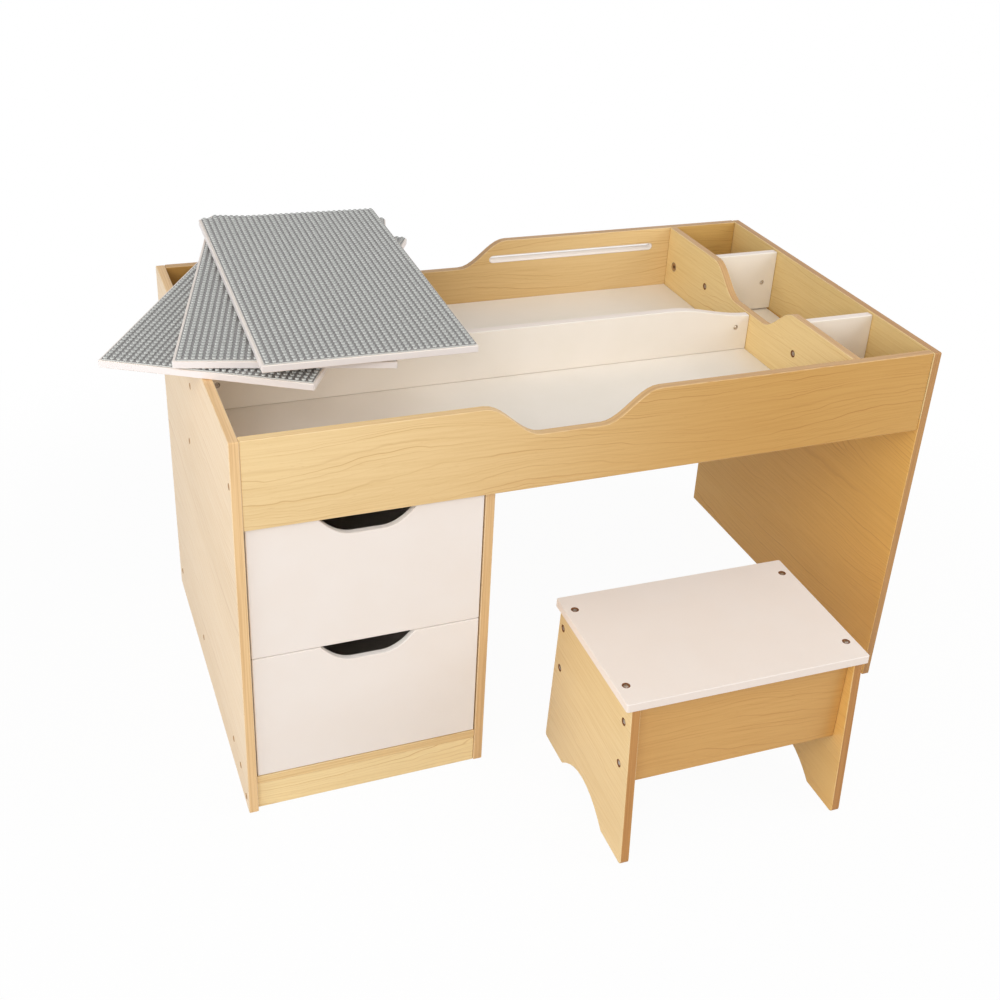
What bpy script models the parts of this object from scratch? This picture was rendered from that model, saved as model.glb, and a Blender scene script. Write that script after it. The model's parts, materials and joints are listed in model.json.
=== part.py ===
"""Children's building-block table set.

A two-bay tray table with a side caddy and a drawer cabinet, three loose stud boards
fanned out on its rim, and a stool with splayed legs.

Lengths are metres, +Z is up. Table coordinates start at the left panel's outer front
bottom corner: X runs right, Y runs back. One empty carries the whole set and puts the
origin on the floor under the middle of its box.
"""
import math

import bmesh
import bpy
from mathutils import Vector

# Table
TABLE_WIDTH = 0.940
TABLE_DEPTH = 0.545
TABLE_HEIGHT = 0.535
PANEL = 0.012
THIN_PANEL = 0.009
PANEL_TOP_CORNER = 0.0015
PANEL_REAR_CORNER = 0.003
PANEL_FOOT_CORNER = 0.0015
EDGE = 0.0008
GAP = 0.0003

# Rim: apron, back panel and the finger dips cut into them
APRON_HEIGHT = 0.115
APRON_SETBACK = 0.001
DIP_SPAN = 0.228
DIP_FLAT = 0.080
DIP_DEPTH = 0.0415
DIP_STEPS = 10

# Tray and its inner divider
TRAY_DEPTH = 0.0965
DIVIDER_HEIGHT = 0.0717
DIVIDER_END_HEIGHT = 0.0535
DIVIDER_SLOPE = 0.128

# Caddy along the right side
CADDY_WIDTH = 0.108
CADDY_FRONT_BAY = 0.127
CADDY_REAR_BAY = 0.123
PARTITION_DROP = 0.0028
CADDY_FLOOR_DROP = 0.0015
CADDY_SHADOW_GAP = 0.002

# Paper slot in the back panel
SLOT_HEIGHT = 0.0122
SLOT_DROP = 0.0292
SLOT_TO_CADDY = 0.030
SLOT_UNDER_DIP = 0.027
SLOT_WALL = 0.0012
SLOT_FLOOR_RISE = 0.0032
SLOT_END_STEPS = 8

# Drawer cabinet
CABINET_WIDTH = 0.2915
CABINET_SETBACK = 0.006
CABINET_BACK_INSET = 0.020
CABINET_BACK = 0.004
PLINTH_HEIGHT = 0.040
PLINTH_SETBACK = 0.0015

# Drawers
FRONT_SIDE_GAP = 0.002
FRONT_GAP = 0.0015
PULL_SPAN = 0.120
PULL_FLAT = 0.037
PULL_DEPTH = 0.0257
PULL_STEPS = 10
DRAWER_REAR_GAP = 0.0327
DRAWER_SIDE_DROP = 0.03835
DRAWER_WALL = 0.010
DRAWER_BOTTOM = 0.004
RUNNER_LEDGE = 0.010
RUNNER_LIP_HEIGHT = 0.008
RUNNER_LIP_WIDTH = 0.0122
RUNNER_CLEARANCE = 0.0005

# Stud boards: a white panel with a stud plate on top
BOARD_LENGTH = 0.516
BOARD_WIDTH = 0.2615
BOARD_THICKNESS = 0.009
BOARD_CORNER = 0.0015
PLATE_MARGIN = 0.002
PLATE_LEFT_MARGIN = 0.0035
PLATE_CORNER = 0.0015
PLATE_BASE = 0.0015
STUD_HEIGHT = 0.0017
# Centre from the left panel's outer face and from the table's back, and the turn
BOARD_BOTTOM_PLACE = (0.1298, 0.157, math.radians(-29.1))
BOARD_MIDDLE_PLACE = (0.1606, 0.1548, math.radians(-14.65))
BOARD_TOP_PLACE = (0.1984, 0.1822, math.radians(-1.6))

# Stool, in its own frame: origin on the floor under the seat's middle
STOOL_HEIGHT = 0.243
STOOL_FROM_CABINET = 0.0915
STOOL_TUCK = 0.0059
STOOL_TURN = math.radians(-1.05)
SEAT_WIDTH = 0.3324
SEAT_DEPTH = 0.2241
SEAT_CORNER = 0.003
LEG_INSET = 0.0075
LEG_TOP_INSET = 0.002
FOOT_REACH = 0.0154
FOOT_CORNER = 0.005
ARCH_SPAN = 0.132
ARCH_HEIGHT = 0.0305
ARCH_FULLNESS = 2.0
ARCH_STEPS = 14
STOOL_RAIL_HEIGHT = 0.1225
RAIL_FRONT_INSET = 0.013
RAIL_BACK_INSET = 0.0068
SEAT_BOLT_FRONT = 0.0345
SEAT_BOLT_REAR = 0.0306
RAIL_BOLT_MARGIN = 0.029

# Fasteners
BOLT_HEAD_RADIUS = 0.0048
BOLT_HEAD_HEIGHT = 0.0042
BOLT_SINK = 0.0010
BOLT_RECESS_CLEARANCE = 0.0006
BOLT_SHANK_RADIUS = 0.003
BOLT_LENGTH = 0.040
SOCKET_RADIUS = 0.0028
SOCKET_DEPTH = 0.0026
CAM_RADIUS = 0.0060
PIN_RADIUS = 0.0036
PIN_SOCKET_RADIUS = 0.0018
CAM_HEIGHT = 0.0085
CAM_SINK = 0.0004
CAM_FROM_JOINT = 0.021
CAM_BACK_FROM_JOINT = 0.026
FASTENER_DROP = 0.0515
CADDY_CAM_DROP = 0.0578
CAM_DIVIDER_RISE = 0.036
FASTENER_SIDES = 12

# Places worked out from the sizes above
LEFT_INNER = PANEL
RIGHT_INNER = TABLE_WIDTH - PANEL
APRON_BACK = APRON_SETBACK + PANEL
BACK_FACE = TABLE_DEPTH - PANEL
APRON_BOTTOM = TABLE_HEIGHT - APRON_HEIGHT
TRAY_TOP = TABLE_HEIGHT - TRAY_DEPTH
TRAY_UNDERSIDE = TRAY_TOP - PANEL
CADDY_LEFT = RIGHT_INNER - CADDY_WIDTH
DIVIDER_LEFT = CADDY_LEFT - PANEL
TRAY_MIDDLE_X = (LEFT_INNER + DIVIDER_LEFT) / 2
TRAY_MIDDLE_Y = (APRON_BACK + BACK_FACE) / 2
UPRIGHT_LEFT = LEFT_INNER + CABINET_WIDTH
UPRIGHT_RIGHT = UPRIGHT_LEFT + PANEL
CABINET_FLOOR = PLINTH_HEIGHT + PANEL
CABINET_REAR = TABLE_DEPTH - CABINET_BACK_INSET
DRAWER_START = CABINET_SETBACK + THIN_PANEL + GAP
DRAWER_END = CABINET_REAR - CABINET_BACK - DRAWER_REAR_GAP
FASTENER_Z = TABLE_HEIGHT - FASTENER_DROP
SEAT_UNDERSIDE = STOOL_HEIGHT - PANEL
LEG_TOP = SEAT_UNDERSIDE - GAP
LEG_OUTER = SEAT_WIDTH / 2 - LEG_INSET
FOOT_END = SEAT_DEPTH / 2 + FOOT_REACH
STOOL_X = UPRIGHT_RIGHT + STOOL_FROM_CABINET + SEAT_WIDTH / 2
STOOL_Y = STOOL_TUCK - SEAT_DEPTH / 2
BOARD_PITCH = BOARD_THICKNESS + PLATE_BASE + STUD_HEIGHT + 2 * GAP
CHAMFER_ANGLE = math.radians(40)

FACING = {
    "up": (0.0, 0.0, 0.0),
    "left": (0.0, math.radians(-90), 0.0),
    "right": (0.0, math.radians(90), 0.0),
    "front": (math.radians(90), 0.0, 0.0),
}


def clear_scene():
    for obj in list(bpy.data.objects):
        bpy.data.objects.remove(obj, do_unlink=True)


def finish(name, colour, roughness, metallic=0.0):
    """A plain principled material; colour is linear RGB."""
    material = bpy.data.materials.new(name)
    material.use_nodes = True
    shader = material.node_tree.nodes["Principled BSDF"]
    shader.inputs["Base Color"].default_value = (*colour, 1.0)
    shader.inputs["Roughness"].default_value = roughness
    shader.inputs["Metallic"].default_value = metallic
    return material


def add_empty(name, parent=None, location=(0.0, 0.0, 0.0), turn=0.0):
    empty = bpy.data.objects.new(name, None)
    bpy.context.scene.collection.objects.link(empty)
    empty.parent = parent
    empty.location = location
    empty.rotation_euler.z = turn
    return empty


def add_piece(name, shape, material, parent, location=(0.0, 0.0, 0.0), rotation=(0.0, 0.0, 0.0)):
    """Turns a bmesh into a named object under its body's empty."""
    mesh = bpy.data.meshes.new(name)
    shape.to_mesh(mesh)
    shape.free()
    mesh.materials.append(material)
    obj = bpy.data.objects.new(name, mesh)
    bpy.context.scene.collection.objects.link(obj)
    obj.parent = parent
    obj.location = location
    obj.rotation_euler = rotation
    return obj


def hide_cutter(obj):
    obj.hide_render = True
    obj.display_type = "WIRE"


def chamfer(obj, width=EDGE):
    bevel = obj.modifiers.new("edge", "BEVEL")
    bevel.width = width
    bevel.segments = 1
    bevel.limit_method = "ANGLE"
    bevel.angle_limit = CHAMFER_ANGLE
    return obj


def cut(obj, cutter):
    boolean = obj.modifiers.new("cut", "BOOLEAN")
    boolean.operation = "DIFFERENCE"
    boolean.solver = "EXACT"
    boolean.object = cutter


def in_plane(axis, u, v, along):
    """A point of an outline that is extruded along an axis."""
    if axis == "X":
        return (along, u, v)
    if axis == "Y":
        return (u, along, v)
    return (u, v, along)


def slab(outline, axis, low, high):
    """A closed solid: an outline extruded along one axis from low to high."""
    shape = bmesh.new()
    ring = [shape.verts.new(in_plane(axis, u, v, low)) for u, v in outline]
    face = shape.faces.new(ring)
    grown = bmesh.ops.extrude_face_region(shape, geom=[face])["geom"]
    moved = [item for item in grown if isinstance(item, bmesh.types.BMVert)]
    bmesh.ops.translate(shape, vec=Vector(in_plane(axis, 0.0, 0.0, high - low)), verts=moved)
    bmesh.ops.recalc_face_normals(shape, faces=shape.faces)
    return shape


def rectangle(low_u, low_v, high_u, high_v):
    return [(low_u, low_v), (high_u, low_v), (high_u, high_v), (low_u, high_v)]


def rounded(outline, radii, steps=3):
    """Replaces corners by arcs that touch both of their sides; radius 0 leaves a corner sharp."""
    points = []
    count = len(outline)
    for index, (corner, radius) in enumerate(zip(outline, radii)):
        if radius == 0:
            points.append(corner)
            continue
        here = Vector(corner)
        before = (Vector(outline[index - 1]) - here).normalized()
        after = (Vector(outline[(index + 1) % count]) - here).normalized()
        half = before.angle(after) / 2
        middle = here + (before + after).normalized() * radius / math.sin(half)
        start = here + before * radius / math.tan(half) - middle
        end = here + after * radius / math.tan(half) - middle
        sweep = start.angle_signed(end)
        for step in range(steps + 1):
            turn = -sweep * step / steps
            cosine, sine = math.cos(turn), math.sin(turn)
            arm = Vector((start.x * cosine - start.y * sine, start.x * sine + start.y * cosine))
            points.append(tuple(middle + arm))
    return points


def wave(share):
    """Falls smoothly from 0 to 1, level at both ends."""
    return (1 - math.cos(math.pi * share)) / 2


def bowl(share):
    """Falls from 0 to 1, steep at the rim and level at the bottom."""
    return 1 - (1 - share) ** 2


def notch(curve, middle, rim, span, flat, depth, steps):
    """A flat-bottomed notch in a rim, listed from the far side of its axis to the near side."""
    slope = (span - flat) / 2
    half = [(span / 2 - slope * step / steps, curve(step / steps)) for step in range(steps + 1)]
    far = [(middle + offset, rim - depth * drop) for offset, drop in half]
    near = [(middle - offset, rim - depth * drop) for offset, drop in reversed(half)]
    return far + near


def box_piece(name, low, high, material, parent, edge=EDGE):
    shape = slab(rectangle(low[0], low[1], high[0], high[1]), "Z", low[2], high[2])
    return chamfer(add_piece(name, shape, material, parent), edge)


def ring_points(radius, height, sides, six_sided):
    """A ring of a turned piece; a six-sided ring is a hexagon with twice its corners."""
    flat_share = math.cos(math.pi / 6)
    points = []
    for side in range(sides):
        reach = radius * flat_share if six_sided and side % 2 else radius
        turn = 2 * math.pi * side / sides
        points.append((reach * math.cos(turn), reach * math.sin(turn), height))
    return points


def turned(profile, sides=FASTENER_SIDES):
    """A solid of revolution about Z; the first and last points lie on the axis."""
    shape = bmesh.new()
    first = shape.verts.new((0.0, 0.0, profile[0][1]))
    last = shape.verts.new((0.0, 0.0, profile[-1][1]))
    rings = []
    for radius, height, six_sided in profile[1:-1]:
        points = ring_points(radius, height, sides, six_sided)
        rings.append([shape.verts.new(point) for point in points])
    for side in range(sides):
        after = (side + 1) % sides
        shape.faces.new((first, rings[0][after], rings[0][side]))
        shape.faces.new((last, rings[-1][side], rings[-1][after]))
        for lower, upper in zip(rings, rings[1:]):
            shape.faces.new((lower[side], lower[after], upper[after], upper[side]))
    bmesh.ops.recalc_face_normals(shape, faces=shape.faces)
    return shape


def add_fastener(name, parent, location, facing, panels, profile, hole):
    """A turned fastener and its clearance hole in every panel that it joins."""
    fastener = add_piece(name, turned(profile), STEEL, parent, location, FACING[facing])
    cutter = add_piece(name + "_hole", turned(hole), STEEL, parent, location, FACING[facing])
    hide_cutter(cutter)
    for panel in panels:
        cut(panel, cutter)
    return fastener


def add_bolt(name, parent, location, facing, panels):
    """A socket-head bolt sunk into a panel; its head faces the given way."""
    top = -BOLT_SINK
    seat = top - BOLT_HEAD_HEIGHT
    tip = -BOLT_LENGTH
    profile = [
        (0.0, tip, False),
        (BOLT_SHANK_RADIUS, tip, False),
        (BOLT_SHANK_RADIUS, seat, False),
        (BOLT_HEAD_RADIUS, seat, False),
        (BOLT_HEAD_RADIUS, top - EDGE, False),
        (BOLT_HEAD_RADIUS - EDGE, top, False),
        (SOCKET_RADIUS, top, True),
        (SOCKET_RADIUS, top - SOCKET_DEPTH, True),
        (0.0, top - SOCKET_DEPTH, False),
    ]
    recess = BOLT_HEAD_RADIUS + BOLT_RECESS_CLEARANCE
    hole = [
        (0.0, tip - GAP, False),
        (BOLT_SHANK_RADIUS + GAP, tip - GAP, False),
        (BOLT_SHANK_RADIUS + GAP, seat - GAP, False),
        (recess, seat - GAP, False),
        (recess, BOLT_HEAD_HEIGHT, False),
        (0.0, BOLT_HEAD_HEIGHT, False),
    ]
    return add_fastener(name, parent, location, facing, panels, profile, hole)


def add_cam(name, parent, location, facing, panel, radius, socket):
    """A cam lock or pin in a blind hole near a panel's joint."""
    top = -CAM_SINK
    floor = top - CAM_HEIGHT
    profile = [
        (0.0, floor, False),
        (radius, floor, False),
        (radius, top - EDGE, False),
        (radius - EDGE, top, False),
        (socket, top, True),
        (socket, top - SOCKET_DEPTH, True),
        (0.0, top - SOCKET_DEPTH, False),
    ]
    hole = [
        (0.0, floor - GAP, False),
        (radius + GAP, floor - GAP, False),
        (radius + GAP, CAM_HEIGHT, False),
        (0.0, CAM_HEIGHT, False),
    ]
    return add_fastener(name, parent, location, facing, (panel,), profile, hole)


def add_side_panels(body):
    radii = [PANEL_FOOT_CORNER, PANEL_FOOT_CORNER, PANEL_REAR_CORNER, PANEL_TOP_CORNER]
    outline = rounded(rectangle(0.0, 0.0, TABLE_DEPTH, TABLE_HEIGHT), radii)
    chamfer(add_piece("left_side_panel", slab(outline, "X", 0.0, LEFT_INNER), MAPLE, body))
    chamfer(add_piece("right_side_panel", slab(outline, "X", RIGHT_INNER, TABLE_WIDTH), MAPLE, body))


def dipped_outline(low, high, middle):
    """A rim panel's face: a rectangle from under the tray to the rim, with one finger dip."""
    dip = notch(wave, middle, TABLE_HEIGHT, DIP_SPAN, DIP_FLAT, DIP_DEPTH, DIP_STEPS)
    corners = [(low, TABLE_HEIGHT), (low, APRON_BOTTOM), (high, APRON_BOTTOM), (high, TABLE_HEIGHT)]
    return corners + dip


def slot_outline(margin):
    """The paper slot's round-ended outline, from under the dip's shoulder to the caddy, less a margin."""
    radius = SLOT_HEIGHT / 2 - margin
    right = DIVIDER_LEFT - SLOT_TO_CADDY - SLOT_HEIGHT / 2
    left = TRAY_MIDDLE_X + DIP_SPAN / 2 - SLOT_UNDER_DIP + SLOT_HEIGHT / 2
    height = TABLE_HEIGHT - SLOT_DROP
    points = []
    for middle, start in ((right, -math.pi / 2), (left, math.pi / 2)):
        for step in range(SLOT_END_STEPS + 1):
            turn = start + math.pi * step / SLOT_END_STEPS
            points.append((middle + radius * math.cos(turn), height + radius * math.sin(turn)))
    return points


def raise_slot_floor(passage):
    """Slopes the floor of the slot's passage up towards the back; its round ends follow."""
    middle = TABLE_HEIGHT - SLOT_DROP
    share = 1 - SLOT_FLOOR_RISE / (SLOT_HEIGHT / 2 - GAP - SLOT_WALL)
    for corner in passage.verts:
        if corner.co.y > BACK_FACE and corner.co.z < middle:
            corner.co.z = middle + (corner.co.z - middle) * share


def add_rim(body):
    outline = dipped_outline(LEFT_INNER + GAP, RIGHT_INNER - GAP, TRAY_MIDDLE_X)
    chamfer(add_piece("front_apron", slab(outline, "Y", APRON_SETBACK, APRON_BACK), MAPLE, body))
    back = chamfer(add_piece("back_panel", slab(outline, "Y", BACK_FACE, TABLE_DEPTH), MAPLE, body))
    low, high = BACK_FACE - GAP, TABLE_DEPTH + GAP
    slot = add_piece("slot_cut", slab(slot_outline(0.0), "Y", low, high), WHITE, body)
    hide_cutter(slot)
    cut(back, slot)
    sleeve = slab(slot_outline(GAP), "Y", BACK_FACE, TABLE_DEPTH)
    liner = add_piece("paper_slot_liner", sleeve, WHITE, body)
    passage = slab(slot_outline(GAP + SLOT_WALL), "Y", low, high)
    raise_slot_floor(passage)
    bore = add_piece("liner_cut", passage, WHITE, body)
    hide_cutter(bore)
    cut(liner, bore)


def add_tray(body):
    low = (LEFT_INNER + GAP, APRON_BACK + GAP, TRAY_UNDERSIDE)
    high = (DIVIDER_LEFT - GAP, BACK_FACE - GAP, TRAY_TOP)
    box_piece("tray_floor", low, high, WHITE, body)

    floor = TRAY_TOP + GAP
    top = TRAY_TOP + DIVIDER_HEIGHT
    drop = DIVIDER_HEIGHT - DIVIDER_END_HEIGHT
    slope = []
    for step in range(DIP_STEPS + 1):
        share = step / DIP_STEPS
        slope.append((high[0] - DIVIDER_SLOPE * share, top - drop * wave(1 - share)))
    outline = [(low[0], top), (low[0], floor), (high[0], floor)] + slope
    near = TRAY_MIDDLE_Y - PANEL / 2
    shape = slab(outline, "Y", near, near + PANEL)
    divider = chamfer(add_piece("inner_divider", shape, WHITE, body))
    cam_z = TRAY_TOP + CAM_DIVIDER_RISE
    pin = (PIN_RADIUS, PIN_SOCKET_RADIUS)
    for side, x in (("left", LEFT_INNER + CAM_FROM_JOINT), ("right", DIVIDER_LEFT - CAM_FROM_JOINT)):
        add_cam("divider_cam_" + side, body, (x, near, cam_z), "front", divider, *pin)


def add_caddy(body):
    outline = dipped_outline(APRON_BACK + GAP, BACK_FACE - GAP, TRAY_MIDDLE_Y)
    shape = slab(outline, "X", DIVIDER_LEFT, CADDY_LEFT)
    divider = chamfer(add_piece("caddy_divider", shape, MAPLE, body))

    floor_top = TRAY_TOP - CADDY_FLOOR_DROP
    low = (CADDY_LEFT + GAP, APRON_BACK + GAP, floor_top - PANEL)
    high = (RIGHT_INNER - CADDY_SHADOW_GAP, BACK_FACE - CADDY_SHADOW_GAP, floor_top)
    box_piece("caddy_floor", low, high, WHITE, body)

    nears = {"front": APRON_BACK + CADDY_FRONT_BAY, "rear": BACK_FACE - CADDY_REAR_BAY - PANEL}
    partitions = {}
    for place, near in nears.items():
        low = (CADDY_LEFT + GAP, near, floor_top + CADDY_SHADOW_GAP)
        high = (RIGHT_INNER - GAP, near + PANEL, TABLE_HEIGHT - PARTITION_DROP)
        partition = box_piece("caddy_partition_" + place, low, high, WHITE, body)
        bolt_place = (DIVIDER_LEFT, near + PANEL / 2, FASTENER_Z)
        add_bolt("caddy_bolt_" + place, body, bolt_place, "left", (divider, partition))
        partitions[place] = partition
    cam_place = (RIGHT_INNER - CAM_FROM_JOINT, nears["rear"], FASTENER_Z)
    pin = (PIN_RADIUS, PIN_SOCKET_RADIUS)
    add_cam("partition_cam", body, cam_place, "front", partitions["rear"], *pin)
    cam_place = (DIVIDER_LEFT, BACK_FACE - CAM_BACK_FROM_JOINT, TABLE_HEIGHT - CADDY_CAM_DROP)
    add_cam("caddy_cam", body, cam_place, "left", divider, CAM_RADIUS, SOCKET_RADIUS)


def add_cabinet(body):
    ledge, top = APRON_BOTTOM - GAP, TRAY_UNDERSIDE - GAP
    near, far = APRON_BACK + GAP, BACK_FACE - GAP
    outline = [
        (CABINET_SETBACK, 0.0),
        (TABLE_DEPTH, 0.0),
        (TABLE_DEPTH, ledge),
        (far, ledge),
        (far, top),
        (near, top),
        (near, ledge),
        (CABINET_SETBACK, ledge),
    ]
    upright = slab(outline, "X", UPRIGHT_LEFT, UPRIGHT_RIGHT)
    chamfer(add_piece("cabinet_upright", upright, MAPLE, body))

    left, right = LEFT_INNER + GAP, UPRIGHT_LEFT - GAP
    low = (left, CABINET_SETBACK, PLINTH_HEIGHT)
    box_piece("cabinet_bottom", low, (right, CABINET_REAR, CABINET_FLOOR), MAPLE, body)
    plinth_top = PLINTH_HEIGHT - GAP
    front = CABINET_SETBACK + PLINTH_SETBACK
    box_piece("cabinet_plinth", (left, front, 0.0), (right, front + PANEL, plinth_top), MAPLE, body)
    rear = CABINET_REAR - CABINET_BACK - PANEL
    box_piece("cabinet_rear_plinth", (left, rear, 0.0), (right, rear + PANEL, plinth_top), MAPLE, body)
    low = (left, CABINET_REAR - CABINET_BACK, CABINET_FLOOR + GAP)
    box_piece("cabinet_back", low, (right, CABINET_REAR, top), WHITE, body, EDGE / 2)


def front_span(level):
    """Lowest and highest Z of a drawer front; level 0 is the lower drawer."""
    height = (APRON_BOTTOM - CABINET_FLOOR - 3 * FRONT_GAP) / 2
    low = CABINET_FLOOR + FRONT_GAP + level * (height + FRONT_GAP)
    return low, low + height


def ledge_top(level):
    """Height of the runner ledge that a drawer rides on."""
    return front_span(level)[0] - FRONT_GAP + GAP + RUNNER_LEDGE


def add_runners(body, level, place):
    """Two stepped runners: the drawer rides on the ledge and the lip guides its side."""
    top = ledge_top(level)
    ledge = RUNNER_LIP_WIDTH + RUNNER_CLEARANCE + DRAWER_WALL
    for side, wall, way in (("left", LEFT_INNER + GAP, 1), ("right", UPRIGHT_LEFT - GAP, -1)):
        outline = [
            (wall, top - RUNNER_LEDGE),
            (wall + way * ledge, top - RUNNER_LEDGE),
            (wall + way * ledge, top),
            (wall + way * RUNNER_LIP_WIDTH, top),
            (wall + way * RUNNER_LIP_WIDTH, top + RUNNER_LIP_HEIGHT),
            (wall, top + RUNNER_LIP_HEIGHT),
        ]
        name = "runner_" + place + "_" + side
        chamfer(add_piece(name, slab(outline, "Y", DRAWER_START, DRAWER_END), GREY, body), EDGE / 2)


def add_drawer(body, level, place):
    """A drawer box behind a front with a finger cut-out in its top edge."""
    prefix = "drawer_" + place + "_"
    low_z, high_z = front_span(level)
    left, right = LEFT_INNER + FRONT_SIDE_GAP, UPRIGHT_LEFT - FRONT_SIDE_GAP
    pull = notch(bowl, (left + right) / 2, high_z, PULL_SPAN, PULL_FLAT, PULL_DEPTH, PULL_STEPS)
    outline = [(left, high_z), (left, low_z), (right, low_z), (right, high_z)] + pull
    front = slab(outline, "Y", CABINET_SETBACK, CABINET_SETBACK + THIN_PANEL)
    chamfer(add_piece(prefix + "front", front, WHITE, body))

    near, far = DRAWER_START, DRAWER_END
    side_gap = GAP + RUNNER_LIP_WIDTH + RUNNER_CLEARANCE
    west, east = LEFT_INNER + side_gap, UPRIGHT_LEFT - side_gap
    floor = ledge_top(level) + GAP
    foot = floor + DRAWER_BOTTOM + GAP
    head = high_z - DRAWER_SIDE_DROP
    inner_west, inner_east = west + DRAWER_WALL, east - DRAWER_WALL
    boxes = {
        "bottom": ((west, near, floor), (east, far, floor + DRAWER_BOTTOM)),
        "left_side": ((west, near, foot), (inner_west, far, head)),
        "right_side": ((inner_east, near, foot), (east, far, head)),
        "back": ((inner_west + GAP, far - DRAWER_WALL, foot), (inner_east - GAP, far, head)),
    }
    for side, (low, high) in boxes.items():
        box_piece(prefix + side, low, high, WHITE, body, EDGE / 2)


def add_board(body, place):
    """A loose board; its plate solid reaches to the tops of the studs."""
    name = "board_" + place
    half_width, half_length = BOARD_WIDTH / 2, BOARD_LENGTH / 2
    sheet = rectangle(-half_width, -half_length, half_width, half_length)
    panel = slab(rounded(sheet, [BOARD_CORNER] * 4), "Z", 0.0, BOARD_THICKNESS)
    chamfer(add_piece(name + "_panel", panel, WHITE, body))
    half_length -= PLATE_MARGIN
    sheet = rectangle(PLATE_LEFT_MARGIN - half_width, -half_length, half_width - PLATE_MARGIN, half_length)
    low = BOARD_THICKNESS + GAP
    high = low + PLATE_BASE + STUD_HEIGHT
    plate = slab(rounded(sheet, [PLATE_CORNER] * 4), "Z", low, high)
    add_piece(name + "_plate", plate, GREY, body)


def leg_outline():
    """A stool leg seen from the side: splayed edges, two feet and an arch between them."""
    half = ARCH_SPAN / 2
    top = SEAT_DEPTH / 2 - LEG_TOP_INSET
    front = [(-half, 0.0), (-FOOT_END, 0.0), (-top, LEG_TOP)]
    rear = [(top, LEG_TOP), (FOOT_END, 0.0), (half, 0.0)]
    radii = [0, FOOT_CORNER, 0, 0, FOOT_CORNER, 0]
    arch = []
    for step in range(1, ARCH_STEPS):
        turn = math.pi * step / ARCH_STEPS
        arch.append((half * math.cos(turn), ARCH_HEIGHT * math.sin(turn) ** ARCH_FULLNESS))
    return rounded(front + rear, radii) + arch


def add_stool(body):
    half_width, half_depth = SEAT_WIDTH / 2, SEAT_DEPTH / 2
    sheet = rounded(rectangle(-half_width, -half_depth, half_width, half_depth), [SEAT_CORNER] * 4)
    seat = add_piece("stool_seat", slab(sheet, "Z", SEAT_UNDERSIDE, STOOL_HEIGHT), WHITE, body)
    chamfer(seat)

    lefts = {"left": -LEG_OUTER, "right": LEG_OUTER - PANEL}
    legs = {}
    for side, left in lefts.items():
        shape = slab(leg_outline(), "X", left, left + PANEL)
        legs[side] = chamfer(add_piece("stool_leg_" + side, shape, MAPLE, body))

    rail_end = LEG_OUTER - PANEL - GAP
    rail_low = LEG_TOP - STOOL_RAIL_HEIGHT
    nears = {"front": RAIL_FRONT_INSET - half_depth, "rear": half_depth - RAIL_BACK_INSET - PANEL}
    rails = {}
    for place, near in nears.items():
        low, high = (-rail_end, near, rail_low), (rail_end, near + PANEL, LEG_TOP)
        rails[place] = box_piece("stool_rail_" + place, low, high, MAPLE, body)

    seat_bolts = {"front": SEAT_BOLT_FRONT - half_depth, "rear": half_depth - SEAT_BOLT_REAR}
    heights = {"upper": LEG_TOP - RAIL_BOLT_MARGIN, "lower": rail_low + RAIL_BOLT_MARGIN}
    for side, left in lefts.items():
        for place, y in seat_bolts.items():
            name = "seat_bolt_" + place + "_" + side
            add_bolt(name, body, (left + PANEL / 2, y, STOOL_HEIGHT), "up", (seat, legs[side]))
        face = left if side == "left" else left + PANEL
        for place, near in nears.items():
            for level, z in heights.items():
                name = "leg_bolt_" + place + "_" + side + "_" + level
                add_bolt(name, body, (face, near + PANEL / 2, z), side, (legs[side], rails[place]))


def board_reach(turn):
    """Half the box of a turned board along X and along Y."""
    cosine, sine = abs(math.cos(turn)), abs(math.sin(turn))
    across, along = BOARD_WIDTH / 2 - BOARD_CORNER, BOARD_LENGTH / 2 - BOARD_CORNER
    reach_x = across * cosine + along * sine + BOARD_CORNER
    reach_y = across * sine + along * cosine + BOARD_CORNER
    return reach_x, reach_y


def set_middle(places):
    """Middle of the whole set's box on the floor, in table coordinates."""
    stool_reach = FOOT_END * math.cos(STOOL_TURN) + LEG_OUTER * abs(math.sin(STOOL_TURN))
    xs, ys = [0.0, TABLE_WIDTH], [STOOL_Y - stool_reach, TABLE_DEPTH]
    for x, from_back, turn in places:
        reach_x, reach_y = board_reach(turn)
        y = TABLE_DEPTH - from_back
        xs += [x - reach_x, x + reach_x]
        ys += [y - reach_y, y + reach_y]
    return (min(xs) + max(xs)) / 2, (min(ys) + max(ys)) / 2


def build():
    boards = {"bottom": BOARD_BOTTOM_PLACE, "middle": BOARD_MIDDLE_PLACE, "top": BOARD_TOP_PLACE}
    middle_x, middle_y = set_middle(boards.values())
    table = add_empty("table", location=(-middle_x, -middle_y, 0.0))
    add_side_panels(table)
    add_rim(table)
    add_tray(table)
    add_caddy(table)
    add_cabinet(table)
    for level, place in enumerate(("lower", "upper")):
        add_runners(table, level, place)
        add_drawer(add_empty("drawer_" + place, table), level, place)
    for level, (place, (x, from_back, turn)) in enumerate(boards.items()):
        z = TABLE_HEIGHT + GAP + level * BOARD_PITCH
        body = add_empty("board_" + place, table, (x, TABLE_DEPTH - from_back, z), turn)
        add_board(body, place)
    add_stool(add_empty("stool", table, (STOOL_X, STOOL_Y, 0.0), STOOL_TURN))


clear_scene()
MAPLE = finish("maple_laminate", (0.78, 0.53, 0.25), 0.42)
WHITE = finish("white_laminate", (0.86, 0.79, 0.72), 0.40)
GREY = finish("grey_plastic", (0.34, 0.34, 0.33), 0.35)
STEEL = finish("steel", (0.55, 0.53, 0.50), 0.35, 1.0)
build()
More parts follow.
